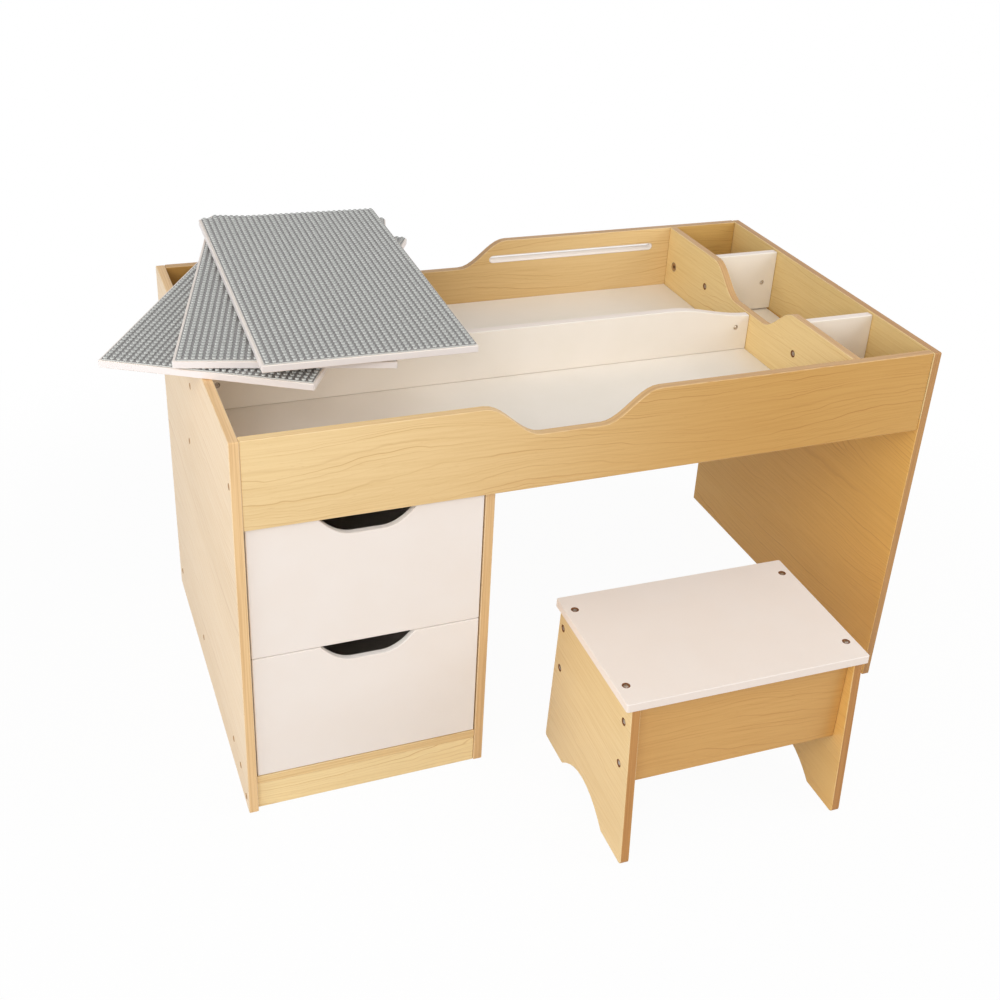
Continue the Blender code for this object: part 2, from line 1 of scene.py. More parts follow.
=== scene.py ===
"""Looks of the children's building-block table set: finishes, stud plates, caps, light and camera.

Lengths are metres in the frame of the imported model. TABLE is the left panel's outer front
bottom corner; places on the table are measured from it.
"""
import json
import math

import bmesh
import bpy
from mathutils import Matrix, Vector

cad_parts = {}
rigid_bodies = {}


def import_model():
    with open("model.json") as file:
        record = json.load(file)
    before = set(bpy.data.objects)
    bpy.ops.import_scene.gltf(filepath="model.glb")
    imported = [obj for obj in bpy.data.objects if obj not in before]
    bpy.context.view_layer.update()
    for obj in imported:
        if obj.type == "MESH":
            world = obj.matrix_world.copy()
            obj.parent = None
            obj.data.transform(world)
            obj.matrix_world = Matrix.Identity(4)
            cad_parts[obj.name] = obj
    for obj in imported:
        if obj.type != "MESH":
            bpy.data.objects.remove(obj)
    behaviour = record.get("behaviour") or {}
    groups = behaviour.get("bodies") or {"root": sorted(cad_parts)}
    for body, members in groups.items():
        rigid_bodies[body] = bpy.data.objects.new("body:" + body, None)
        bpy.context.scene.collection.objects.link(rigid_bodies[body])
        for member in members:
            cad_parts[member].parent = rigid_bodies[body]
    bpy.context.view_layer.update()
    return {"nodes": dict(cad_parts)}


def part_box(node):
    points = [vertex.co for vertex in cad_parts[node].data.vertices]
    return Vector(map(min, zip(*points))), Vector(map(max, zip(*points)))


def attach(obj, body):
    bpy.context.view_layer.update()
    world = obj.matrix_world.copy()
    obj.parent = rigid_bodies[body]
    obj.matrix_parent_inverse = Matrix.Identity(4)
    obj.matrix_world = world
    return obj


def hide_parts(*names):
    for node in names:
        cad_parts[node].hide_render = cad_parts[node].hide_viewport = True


for leftover in list(bpy.data.objects):
    bpy.data.objects.remove(leftover, do_unlink=True)
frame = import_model()


def middle_of(node):
    """Middle of a CAD node's box."""
    low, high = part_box(node)
    return (low + high) / 2


# Places read from the frame
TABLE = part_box("left_side_panel")[0]
RIGHT_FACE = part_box("right_side_panel")[1].x
RIGHT_INNER_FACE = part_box("right_side_panel")[0].x
CADDY_FLOOR_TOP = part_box("caddy_floor")[1].z
CADDY_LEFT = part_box("caddy_divider")[0].x
BACK_MIDDLE = middle_of("back_panel").y

# How far the stud boards and the stool are turned in the CAD model
BOARD_TURNS = {"bottom": math.radians(-29.1), "middle": math.radians(-14.65), "top": math.radians(-1.6)}
STOOL_TURN = math.radians(-1.05)

# Stud plates
STUD_PITCH = 0.008
STUDS_ACROSS = 32
STUDS_ALONG = 64
STUD_RADIUS = 0.00245
STUD_HEIGHT = 0.002
STUD_ROUND = 0.0003
STUD_SIDES = 12
PLATE_CORNER = 0.0015
PLATE_LOW, PLATE_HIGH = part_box("board_top_plate")
STUD_FOOT = PLATE_HIGH.z - PLATE_LOW.z - STUD_HEIGHT

# Profiles of the small turned pieces are radius and height, the height measured from the panel's face

# Screw caps on the side panels: Y and Z from the table's front bottom corner
CAP_RADIUS = 0.0042
CAP_HEIGHT = 0.0004
CAP_PROFILE = [(CAP_RADIUS, 0.0), (CAP_RADIUS, CAP_HEIGHT / 2), (CAP_RADIUS - CAP_HEIGHT / 2, CAP_HEIGHT)]
CAP_PLACES = [
    (0.272, 0.475),
    (0.317, 0.373),
    (0.0095, 0.476),
    (0.519, 0.035),
    (0.322, 0.0467),
    (0.094, 0.0456),
    (0.048, 0.040),
    (0.0165, 0.015),
]

# Bolts sunk into a panel: the rim of the hole, raw chipboard darkened with painted shade of the recess,
# and the dome of the bolt's head
BOLT_SINK = 0.001
BOLT_BOTTOM = -0.00095
BOLT_SHOULDER = -0.0008
RIM_RADIUS = 0.0053
RIM_TOP = -0.00015
RIM_HOLE = 0.0030
DOME_RADIUS = 0.0029
DOME_BEND = (0.0023, -0.00055)
DOME_TOP = (0.0012, -0.0004)
RIM_PROFILE = [
    (RIM_RADIUS, BOLT_BOTTOM),
    (RIM_RADIUS, RIM_TOP),
    (RIM_HOLE, BOLT_SHOULDER),
    (RIM_HOLE, BOLT_BOTTOM),
]
DOME_PROFILE = [(DOME_RADIUS, BOLT_BOTTOM), (DOME_RADIUS, BOLT_SHOULDER), DOME_BEND, DOME_TOP]

# The rear caddy cam: radii between which the painted shade of its recess fades out, and the ring round it
CAM_RECESS_SHADE_EDGE = (0.0024, 0.0032)
CAM_RING_RADIUS = 0.0075
CAM_RING_CREST = 0.0071
CAM_RING_HOLE = 0.0064
CAM_RING_EDGE = 0.0002
CAM_RING_HEIGHT = 0.0004
CAM_RING_PROFILE = [
    (CAM_RING_RADIUS, 0.0),
    (CAM_RING_RADIUS, CAM_RING_EDGE),
    (CAM_RING_CREST, CAM_RING_HEIGHT),
    (CAM_RING_HOLE, CAM_RING_EDGE),
    (CAM_RING_HOLE, 0.0),
]

# Edges with a sharper bend than this stay crisp
STUD_SHARP = math.radians(50)
TURNED_SHARP = math.radians(40)

# Camera and light
CAMERA_PLACE = Vector((-0.1965, -1.2595, 1.2242))
CAMERA_YAW = math.radians(23.74)
CAMERA_PITCH = math.radians(-28.89)
CAMERA_ROLL = math.radians(3.89)
CAMERA_SENSOR = 36.0
CAMERA_LENS = 47.33
CAMERA_SHIFT = (-0.0321, -0.0432)
LIGHT_AIM = Vector((0.45, 0.20, 0.35))
SOFTBOX_SIZE = 1.3
# Place from the table's corner, and power
SOFTBOXES = {
    "key": (Vector((-0.9, -1.6, 1.6)), 21.5),
    "left": (Vector((-1.9, -0.3, 1.2)), 17.5),
    "top": (Vector((1.1, -0.3, 2.5)), 6.5),
    "fill": (Vector((2.2, -0.9, 1.3)), 16.5),
}
WHITE = (1.0, 1.0, 1.0, 1.0)
AMBIENT = 0.43
FLOOR_REACH = 9.0
FLOOR_DROP = 0.0003
FLOOR_COLOUR = (0.78, 0.78, 0.78, 1.0)
# The floor is this white near the object, and wholly white past the second distance
FLOOR_WHITE_NEAR = 0.96
FLOOR_FADE = (0.75, 1.35)


# Node trees


class Tree:
    """The node tree of a material or world, with short calls for the nodes that the scene uses."""

    def __init__(self, owner):
        owner.use_nodes = True
        self.tree = owner.node_tree

    def add(self, kind, **settings):
        node = self.tree.nodes.new(kind)
        for name, value in settings.items():
            setattr(node, name, value)
        return node

    def feed(self, socket, value):
        """Links a socket, or sets it to a plain value."""
        if isinstance(value, bpy.types.NodeSocket):
            self.tree.links.new(value, socket)
        else:
            socket.default_value = value

    def math(self, operation, first, second=0.0):
        node = self.add("ShaderNodeMath", operation=operation)
        self.feed(node.inputs[0], first)
        self.feed(node.inputs[1], second)
        return node.outputs[0]

    def length(self, vector):
        node = self.add("ShaderNodeVectorMath", operation="LENGTH")
        self.feed(node.inputs[0], vector)
        return node.outputs["Value"]

    def ramp(self, value, low, high, out_low=0.0, out_high=1.0):
        """A smooth step from out_low at low to out_high at high."""
        node = self.add("ShaderNodeMapRange", interpolation_type="SMOOTHSTEP")
        self.feed(node.inputs["Value"], value)
        limits = {"From Min": low, "From Max": high, "To Min": out_low, "To Max": out_high}
        for name, limit in limits.items():
            node.inputs[name].default_value = limit
        return node.outputs[0]

    def fall(self, value, low, high):
        """A smooth step down from 1 at low to 0 at high."""
        return self.ramp(value, low, high, 1.0, 0.0)

    def seen_rays(self):
        """1 for rays that show the stage itself or its reflection, and 0 for light on the object."""
        rays = self.add("ShaderNodeLightPath")
        seen = rays.outputs["Is Camera Ray"]
        for other in ("Is Glossy Ray", "Is Transmission Ray"):
            seen = self.math("MAXIMUM", seen, rays.outputs[other])
        return seen

    def end(self, output, share, first, second):
        """Mixes two shaders into the output."""
        mix = self.add("ShaderNodeMixShader")
        for socket, value in zip(mix.inputs, (share, first.outputs[0], second.outputs[0])):
            self.feed(socket, value)
        self.feed(self.add(output).inputs[0], mix.outputs[0])


class Finish(Tree):
    """A material round its Principled shader, in the coordinates of the object that wears it."""

    # Sockets of a colour mix, which come after those of the node's other kinds
    FIRST_COLOUR, SECOND_COLOUR, MIXED_COLOUR = 6, 7, 2

    def __init__(self, name):
        self.material = bpy.data.materials.new(name)
        super().__init__(self.material)
        self.shader = self.tree.nodes["Principled BSDF"]
        coordinates = self.add("ShaderNodeTexCoord")
        self.place = coordinates.outputs["Object"]
        self.normal = coordinates.outputs["Normal"]

    def split(self, vector):
        node = self.add("ShaderNodeSeparateXYZ")
        self.feed(node.inputs[0], vector)
        return {"X": node.outputs[0], "Y": node.outputs[1], "Z": node.outputs[2]}

    def vector(self, x, y, z):
        node = self.add("ShaderNodeCombineXYZ")
        for socket, value in zip(node.inputs, (x, y, z)):
            self.feed(socket, value)
        return node.outputs[0]

    def flow(self, parts, scales):
        """A vector of three parts, each times its own scale."""
        return self.vector(*(self.math("MULTIPLY", part, scale) for part, scale in zip(parts, scales)))

    def noise(self, vector, scale=1.0, detail=2.0):
        node = self.add("ShaderNodeTexNoise")
        self.feed(node.inputs["Vector"], vector)
        node.inputs["Scale"].default_value = scale
        node.inputs["Detail"].default_value = detail
        return node.outputs["Fac"]

    def line_noise(self, value, scale, detail=1.0):
        """Noise along a single number."""
        node = self.add("ShaderNodeTexNoise", noise_dimensions="1D")
        self.feed(node.inputs["W"], value)
        node.inputs["Scale"].default_value = scale
        node.inputs["Detail"].default_value = detail
        return node.outputs["Fac"]

    def mix(self, share, first, second, blend="MIX"):
        node = self.add("ShaderNodeMix", data_type="RGBA", blend_type=blend)
        self.feed(node.inputs[0], share)
        self.feed(node.inputs[self.FIRST_COLOUR], first)
        self.feed(node.inputs[self.SECOND_COLOUR], second)
        return node.outputs[self.MIXED_COLOUR]

    def bump(self, height, strength, distance):
        node = self.add("ShaderNodeBump")
        node.inputs["Strength"].default_value = strength
        node.inputs["Distance"].default_value = distance
        self.feed(node.inputs["Height"], height)
        self.feed(self.shader.inputs["Normal"], node.outputs[0])

    def facing(self, axis):
        """How squarely a surface faces along an axis, either way: 1 on a panel's face, 0 on its edge."""
        return self.math("ABSOLUTE", self.split(self.normal)[axis])

    def board_masks(self, axis):
        """Masks of a board's edges and of its chamfers; axis is the way through the board."""
        facing = self.facing(axis)
        chamfer = self.math("MULTIPLY", self.ramp(facing, *CHAMFER_START), self.fall(facing, *CHAMFER_END))
        return self.fall(facing, *EDGE_STEP), chamfer

    def shade(self, colour, roughness, specular=0.5):
        self.feed(self.shader.inputs["Base Color"], colour)
        self.feed(self.shader.inputs["Roughness"], roughness)
        self.shader.inputs["Specular IOR Level"].default_value = specular
        return self.material


# Values of the finishes

# Steps of a noise between 0 and 1
WIDE_STEP = (0.2, 0.8)
SOFT_STEP = (0.3, 0.7)
FIRM_STEP = (0.35, 0.65)
STREAK_STEP = (0.35, 0.7)
WORN_STEP = (0.4, 0.7)
SPOT_STEP = (0.4, 0.75)
DUST_STEP = (0.4, 0.8)
FLECK_STEP = (0.66, 0.78)
SPECK_STEP = (0.70, 0.80)

# Steps of how squarely a surface faces: at a board's edge, on its chamfer and on a stud's wall, where a
# highlight is painted
EDGE_STEP = (0.5, 0.7)
CHAMFER_START = (0.4, 0.6)
CHAMFER_END = (0.8, 0.95)
STUD_HIGHLIGHT_STEP = (0.55, 0.85)

# Lowest and highest roughness
SATIN_ROUGHNESS = (0.36, 0.46)
STUD_ROUGHNESS = (0.24, 0.34)
RUNNER_ROUGHNESS = (0.46, 0.56)
PLATED_ROUGHNESS = (0.26, 0.42)
BRONZED_ROUGHNESS = (0.35, 0.5)
RAW_ROUGHNESS = (0.75, 0.9)

# Strength and depth of the bumps
WOOD_BUMP = (0.2, 0.0002)
PEEL_BUMP = (0.18, 0.00015)
STUD_BUMP = (0.04, 0.0001)
RUNNER_BUMP = (0.06, 0.0001)
METAL_BUMP = (0.1, 0.0001)
RAW_BUMP = (0.5, 0.0003)

# Noise scales, per metre
MAPLE_WEAR_SCALE = 60.0
WHITE_WEAR_SCALE = 70.0
PEEL_SCALE = 750.0
MOTTLE_SCALE = 14.0
SPECK_SCALE = 420.0
DUST_SCALE = 220.0
CLOUD_SCALE = 30.0
GRAIN_SCALE = 900.0
SPOT_SCALE = 650.0
CRUMB_SCALE = 1400.0


def srgb(red, green, blue):
    """Linear colour of an 8-bit screen colour, by the sRGB formula."""
    values = []
    for part in (red, green, blue):
        share = part / 255
        values.append(share / 12.92 if share <= 0.04045 else ((share + 0.055) / 1.055) ** 2.4)
    return (*values, 1.0)


# Maple-effect laminate

# Tones of the faces at the left end and the right end, which follow the light in the photo
# Painted light and shade: most faces are paler at the left end and darker at the right, and the back panel
# is darker at its left end
FRONT_LIT_SHADED_TONES = (srgb(240, 210, 157), srgb(207, 159, 86))
# Painted light: the plinth's tone is paler, for light low down by the floor
PLINTH_LIT_TONES = (srgb(254, 228, 175), srgb(254, 228, 175))
BACK_SHADED_LIT_TONES = (srgb(190, 146, 80), srgb(240, 209, 153))
SIDE_LIT_SHADED_TONES = (srgb(239, 213, 176), srgb(240, 188, 97))
LEG_LIT_SHADED_TONES = (srgb(236, 220, 178), srgb(240, 188, 97))
# Painted light: the caddy divider's tone is paler, for light on its left face
DIVIDER_LIT_TONES = (srgb(242, 213, 152), srgb(242, 213, 152))
# Painted shade: the stool rail's tone is darker, for the shade under the seat
RAIL_SHADED_TONES = (srgb(215, 165, 94), srgb(215, 165, 94))
# The apron reaches its right tone, its full painted shade, this far before the right panel's outer face
FRONT_TONE_MARGIN = 0.2
FRONT_TONE_END = RIGHT_FACE - FRONT_TONE_MARGIN
# Tones of the faces inside the caddy and of the right panel's outer face: painted shade on the back panel
# in the caddy's rear bay, and plain tones that keep the right panel's caddy and outer faces free of the
# painted shade of its inner face below the tray
SIDE_CADDY_TONE = srgb(231, 203, 142)
BACK_CADDY_SHADE_TONE = srgb(212, 172, 102)
SIDE_OUTER_TONE = srgb(236, 202, 144)
# Tones of the edge bands at the left end and the right end, with the same painted light and shade as the
# faces
FRONT_LIT_SHADED_BANDS = (srgb(240, 207, 150), srgb(203, 160, 108))
BACK_BANDS = (srgb(202, 162, 110), srgb(196, 155, 108))
SIDE_LIT_SHADED_BANDS = (srgb(236, 198, 145), srgb(190, 142, 86))
LEG_LIT_SHADED_BANDS = (srgb(202, 146, 80), srgb(187, 131, 69))
DIVIDER_BANDS = (srgb(210, 168, 114), srgb(210, 168, 114))
# What the figure leaves of a tone's red, green and blue, and the worn chamfers
MAPLE_DRIFT = (0.94, 0.92, 0.88, 1.0)
MAPLE_LATE = (0.95, 0.89, 0.79, 1.0)
MAPLE_LINE = (0.63, 0.44, 0.26, 1.0)
MAPLE_FINE = (0.90, 0.85, 0.77, 1.0)
MAPLE_BAND_LINE = (0.86, 0.80, 0.74, 1.0)
MAPLE_WORN = srgb(238, 212, 170)
MAPLE_WEAR = (0.1, 0.4)

# Scales of the figure along the grain, across it and through the board, per metre
DRIFT_FLOW = (1.7, 6.0, 1.0)
RIPPLE_FLOW = (11.0, 26.0, 1.0)
WIGGLE_FLOW = (42.0, 60.0, 1.0)
FINE_FLOW = (9.0, 320.0, 320.0)
FLECK_FLOW = (85.0, 1300.0, 1.0)
# Scales of the edge band's streaks through the board, along the grain and across it
BAND_FLOW = (700.0, 7.0, 7.0)
# How far the rings sway across the grain
DRIFT_SWAY = 0.13
RIPPLE_SWAY = 0.014
WIGGLE_SWAY = 0.003
# Rings in a metre, and how many of them the uneven spacing adds at most
RINGS_PER_METRE = 185.0
SPACING_SCALE = 22.0
SPACING_RINGS = 7.0
# Strength of the faintest ring, and what is left of a ring where it breaks
FAINTEST_RING = 0.22
BREAK_SCALE = 0.6
BROKEN_RING = 0.3
# A ring's dark line lies in its middle, and half of the line takes this share of the ring
RING_MIDDLE = 0.5
LINE_REACH = 0.12
# A line's height in the bump, and the strength of the rest of the figure
LINE_GROOVE = -0.6
LATE_SHARE = 0.5
FINE_SHARE = 0.5
FLECK_SHARE = 0.25


def rings(g, grain):
    """Growth rings: their slow drift, the place within a ring and each ring's own strength.

    grain holds the distances along the grain, across it and through the board.
    """
    drift = g.noise(g.flow(grain, DRIFT_FLOW), detail=1.0)
    ripple_flow = g.flow(grain, RIPPLE_FLOW)
    ripple = g.noise(ripple_flow)
    wiggle = g.noise(g.flow(grain, WIGGLE_FLOW), detail=1.0)
    across = grain[1]
    for noise, sway in ((drift, DRIFT_SWAY), (ripple, RIPPLE_SWAY), (wiggle, WIGGLE_SWAY)):
        across = g.math("ADD", across, g.math("MULTIPLY", noise, sway))
    spacing = g.math("MULTIPLY", g.line_noise(across, SPACING_SCALE), SPACING_RINGS)
    count = g.math("ADD", g.math("MULTIPLY", across, RINGS_PER_METRE), spacing)
    chance = g.add("ShaderNodeTexWhiteNoise", noise_dimensions="1D")
    g.feed(chance.inputs["W"], g.math("FLOOR", count))
    breaks = g.ramp(g.noise(ripple_flow, BREAK_SCALE, detail=1.0), *FIRM_STEP, BROKEN_RING, 1.0)
    strength = g.math("MULTIPLY", g.ramp(chance.outputs["Value"], 0.0, 1.0, FAINTEST_RING, 1.0), breaks)
    return drift, g.math("FRACT", count), strength


def caddy_mask(g, place):
    """1 on the faces that look into the caddy, and 0 elsewhere on the panels round it: where the caddy's
    painted shade or plain tone goes.
    """
    inside = g.fall(place["X"], RIGHT_INNER_FACE, RIGHT_FACE)
    for test, axis, limit in (
        ("GREATER_THAN", "X", CADDY_LEFT),
        ("LESS_THAN", "Y", BACK_MIDDLE),
        ("GREATER_THAN", "Z", CADDY_FLOOR_TOP),
    ):
        inside = g.math("MULTIPLY", inside, g.math(test, place[axis], limit))
    return inside


def maple(name, axes, tones, bands, tone_end=RIGHT_FACE, lines=0.75, caddy_tone=None, outer_tone=None):
    """Maple-effect laminate: growth-ring lines along the grain, fine streaks and banded edges.

    axes names the way of the grain, the way across it and the way through the board. tones and
    bands are the colours of faces and edges at the left end and at tone_end, which paint light
    and shade along the set, and lines is the strength of the ring lines. caddy_tone is for faces
    inside the caddy, painted shade or a plain tone, and outer_tone for the right panel's outer
    face, a plain tone without the painted shade of its inner face.
    """
    g = Finish(name)
    place = g.split(g.place)
    grain = [place[axis] for axis in axes]
    drift, within, strength = rings(g, grain)
    line = g.fall(g.math("ABSOLUTE", g.math("SUBTRACT", within, RING_MIDDLE)), 0.0, LINE_REACH)
    line = g.math("MULTIPLY", line, strength)
    late = g.math("MULTIPLY", g.ramp(within, 0.0, RING_MIDDLE), g.math("LESS_THAN", within, RING_MIDDLE))
    late = g.math("MULTIPLY", late, strength)
    fine = g.noise(g.flow(grain, FINE_FLOW), detail=3.0)
    fleck = g.ramp(g.noise(g.flow(grain, FLECK_FLOW), detail=1.0), *FLECK_STEP)

    # Painted light and shade: the tone runs from the left end's tone to tone_end's along X
    light_falloff = g.ramp(place["X"], TABLE.x, tone_end)
    colour = g.mix(light_falloff, *tones)
    # Painted shade in the caddy's rear bay, and plain tones on the right panel above the tray and outside
    if caddy_tone:
        colour = g.mix(caddy_mask(g, place), colour, caddy_tone)
    if outer_tone:
        colour = g.mix(g.ramp(place["X"], RIGHT_INNER_FACE, RIGHT_FACE), colour, outer_tone)
    for share, tint in (
        (g.ramp(drift, *SOFT_STEP), MAPLE_DRIFT),
        (g.math("MULTIPLY", late, LATE_SHARE * lines), MAPLE_LATE),
        (g.math("MULTIPLY", line, lines), MAPLE_LINE),
        (g.ramp(fine, *STREAK_STEP, 0.0, FINE_SHARE), MAPLE_FINE),
        (g.math("MULTIPLY", fleck, FLECK_SHARE), MAPLE_LINE),
    ):
        colour = g.mix(share, colour, tint, "MULTIPLY")

    along, across, through = grain
    # The edge bands carry the same painted light and shade along X
    streaks = g.ramp(g.noise(g.flow((through, along, across), BAND_FLOW)), *STREAK_STEP)
    band = g.mix(streaks, g.mix(light_falloff, *bands), MAPLE_BAND_LINE, "MULTIPLY")
    edge, chamfer = g.board_masks(axes[2])
    wear = g.ramp(g.noise(g.place, MAPLE_WEAR_SCALE, detail=3.0), *FIRM_STEP, *MAPLE_WEAR)
    colour = g.mix(edge, colour, band)
    colour = g.mix(g.math("MULTIPLY", chamfer, wear), colour, MAPLE_WORN)
    g.bump(g.math("ADD", fine, g.math("MULTIPLY", line, LINE_GROOVE)), *WOOD_BUMP)
    return g.shade(colour, g.ramp(fine, *WIDE_STEP, *SATIN_ROUGHNESS), specular=0.4)


# White laminate

TAN = srgb(206, 164, 116)
WHITE_FACE = srgb(241, 231, 223)
WHITE_SHADE = srgb(240, 229, 220)
WHITE_EDGE = srgb(243, 229, 218)
# Painted light: brighter whites of the same laminate, for the faces inside the tray, the partitions and
# the drawer backs
TRAY_LIT_FACE = srgb(246, 239, 229)
TRAY_LIT_MOTTLE = srgb(244, 237, 226)
# Painted light: an edge band brighter than the faces, for light on the cut walls of the drawer pulls
FRONT_LIT_EDGE = srgb(252, 245, 238)
BOARD_EDGE = srgb(238, 231, 229)
SPECK_SHARE = 0.05
WHITE_WEAR = 0.04


def white_laminate(name, thickness, edge_tone, face=WHITE_FACE, shade=WHITE_SHADE):
    """Satin white laminate with a faint orange-peel texture, soft mottling and a banded edge.

    thickness names the way through the board.
    """
    g = Finish(name)
    mottle = g.noise(g.place, MOTTLE_SCALE, detail=3.0)
    speck = g.ramp(g.noise(g.place, SPECK_SCALE, detail=1.0), *SPECK_STEP)
    wear = g.ramp(g.noise(g.place, WHITE_WEAR_SCALE, detail=3.0), *WORN_STEP)
    edge, chamfer = g.board_masks(thickness)
    colour = g.mix(g.ramp(mottle, *SOFT_STEP), face, shade)
    colour = g.mix(g.math("MULTIPLY", speck, SPECK_SHARE), colour, TAN)
    colour = g.mix(edge, colour, edge_tone)
    colour = g.mix(g.math("MULTIPLY", chamfer, g.math("MULTIPLY", wear, WHITE_WEAR)), colour, TAN)
    g.bump(g.noise(g.place, PEEL_SCALE), *PEEL_BUMP)
    return g.shade(colour, g.ramp(mottle, *WIDE_STEP, *SATIN_ROUGHNESS), specular=0.45)


# Plastic

RUNNER_GREY = srgb(160, 158, 157)
RUNNER_DEEP = srgb(155, 153, 152)
STUD_TOP = srgb(161, 162, 159)
# Painted highlight on the studs' walls, and painted shade on the plate between them, a colour that the
# dust takes too
STUD_WALL_HIGHLIGHT = srgb(211, 213, 209)
STUD_SHADE_AND_DUST = srgb(132, 129, 128)
DUST_SHARE = 0.12


def stud_plastic(name):
    """Moulded grey plastic: painted highlights on the studs' walls, painted shade on the plate between
    them, and dust.
    """
    g = Finish(name)
    height = g.split(g.place)["Z"]
    dust = g.noise(g.place, DUST_SCALE)
    # Painted shade on the plate between the studs
    colour = g.mix(g.ramp(height, STUD_FOOT, STUD_FOOT + STUD_ROUND), STUD_SHADE_AND_DUST, STUD_TOP)
    colour = g.mix(g.math("MULTIPLY", g.ramp(dust, *DUST_STEP), DUST_SHARE), colour, STUD_SHADE_AND_DUST)
    # Painted highlight on the studs' walls
    colour = g.mix(g.fall(g.facing("Z"), *STUD_HIGHLIGHT_STEP), colour, STUD_WALL_HIGHLIGHT)
    g.bump(g.noise(g.place, GRAIN_SCALE), *STUD_BUMP)
    return g.shade(colour, g.ramp(dust, *WIDE_STEP, *STUD_ROUGHNESS))


def runner_plastic(name):
    """Plain grey plastic of the drawer runners."""
    g = Finish(name)
    cloud = g.noise(g.place, CLOUD_SCALE)
    colour = g.mix(g.ramp(cloud, *SOFT_STEP), RUNNER_GREY, RUNNER_DEEP)
    g.bump(g.noise(g.place, GRAIN_SCALE), *RUNNER_BUMP)
    return g.shade(colour, g.ramp(cloud, *WIDE_STEP, *RUNNER_ROUGHNESS))


# Metal

STEEL = srgb(190, 180, 170)
STEEL_DARK = srgb(122, 110, 100)
# Painted highlight: a lighter copy of the zinc steel, for the cams
CAM_STEEL_HIGHLIGHT = srgb(226, 220, 214)
CAM_STEEL_HIGHLIGHT_DARK = srgb(160, 150, 142)
CAM_HEAD = srgb(168, 128, 84)
CAM_HEAD_DARK = srgb(146, 98, 62)
# Painted shade of the cam's recess
CAM_RECESS_SHADE = srgb(26, 18, 12)


def spotted(g, bright, dark):
    """A spotted tint with fine scratches: the noise behind it, and its colour."""
    spots = g.noise(g.place, SPOT_SCALE, detail=3.0)
    g.bump(spots, *METAL_BUMP)
    return spots, g.mix(g.ramp(spots, *SPOT_STEP), bright, dark)


def steel(name, bright, dark):
    """Zinc-plated steel with fine scratches and darker spots."""
    g = Finish(name)
    spots, colour = spotted(g, bright, dark)
    g.shader.inputs["Metallic"].default_value = 1.0
    return g.shade(colour, g.ramp(spots, *SOFT_STEP, *PLATED_ROUGHNESS))


def cam_head(name, node):
    """A bronzed cam seen end on along X, with painted shade for the key's recess in its middle."""
    g = Finish(name)
    middle = middle_of(node)
    place = g.split(g.place)
    off_y = g.math("SUBTRACT", place["Y"], middle.y)
    off_z = g.math("SUBTRACT", place["Z"], middle.z)
    reach = g.length(g.vector(0.0, off_y, off_z))
    spots, colour = spotted(g, CAM_HEAD, CAM_HEAD_DARK)
    # Painted shade in the middle of the cam, for its recess
    colour = g.mix(g.fall(reach, *CAM_RECESS_SHADE_EDGE), colour, CAM_RECESS_SHADE)
    return g.shade(colour, g.ramp(spots, *SOFT_STEP, *BRONZED_ROUGHNESS))


# Raw board

# Raw chipboard for the rims of the bolt holes, darkened with painted shade of the recesses
CHIPBOARD_AND_SHADE = srgb(146, 98, 62)
CHIPBOARD_AND_SHADE_DARK = srgb(92, 58, 36)
CAP_BROWN = srgb(184, 146, 106)
CAP_BROWN_DARK = srgb(160, 122, 84)


def chipboard(name, bright, dark):
    """The raw core of the board where a hole is drilled, whose colours there also paint the recess's
    shade, or a cap of the same rough look.
    """
    g = Finish(name)
    crumbs = g.noise(g.place, CRUMB_SCALE, detail=3.0)
    colour = g.mix(g.ramp(crumbs, *FIRM_STEP), bright, dark)
    g.bump(crumbs, *RAW_BUMP)
    return g.shade(colour, g.ramp(crumbs, *SOFT_STEP, *RAW_ROUGHNESS), specular=0.2)


# Finishes of the CAD nodes

FRONT_FINISH = maple("maple_front", "XZY", FRONT_LIT_SHADED_TONES, FRONT_LIT_SHADED_BANDS, tone_end=FRONT_TONE_END)
PLINTH_FINISH = maple("maple_plinth", "XZY", PLINTH_LIT_TONES, FRONT_LIT_SHADED_BANDS)
BACK_FINISH = maple("maple_back", "XZY", BACK_SHADED_LIT_TONES, BACK_BANDS, caddy_tone=BACK_CADDY_SHADE_TONE)
RAIL_FINISH = maple("maple_stool_rail", "XZY", RAIL_SHADED_TONES, LEG_LIT_SHADED_BANDS, lines=0.55)
SIDE_FINISH = maple(
    "maple_side",
    "YZX",
    SIDE_LIT_SHADED_TONES,
    SIDE_LIT_SHADED_BANDS,
    lines=0.55,
    caddy_tone=SIDE_CADDY_TONE,
    outer_tone=SIDE_OUTER_TONE,
)
LEG_FINISH = maple("maple_leg", "YZX", LEG_LIT_SHADED_TONES, LEG_LIT_SHADED_BANDS, lines=0.35)
DIVIDER_FINISH = maple("maple_divider", "YZX", DIVIDER_LIT_TONES, DIVIDER_BANDS)
BOTTOM_FINISH = maple("maple_flat", "XYZ", FRONT_LIT_SHADED_TONES, FRONT_LIT_SHADED_BANDS)
WHITE_FLAT_FINISH = white_laminate("white_flat", "Z", WHITE_EDGE)
WHITE_BOARD_FINISH = white_laminate("white_board", "Z", BOARD_EDGE)
WHITE_FRONT_FINISH = white_laminate("white_front", "Y", FRONT_LIT_EDGE)
PARTITION_FINISH = white_laminate("white_partition", "Y", WHITE_EDGE, TRAY_LIT_FACE, TRAY_LIT_MOTTLE)
TRAY_FINISH = white_laminate("white_tray", "Z", WHITE_EDGE, TRAY_LIT_FACE, TRAY_LIT_MOTTLE)
WHITE_SIDE_FINISH = white_laminate("white_side", "X", WHITE_EDGE)
STUD_FINISH = stud_plastic("stud_plastic")
RUNNER_FINISH = runner_plastic("runner_plastic")
STEEL_FINISH = steel("zinc_steel", STEEL, STEEL_DARK)
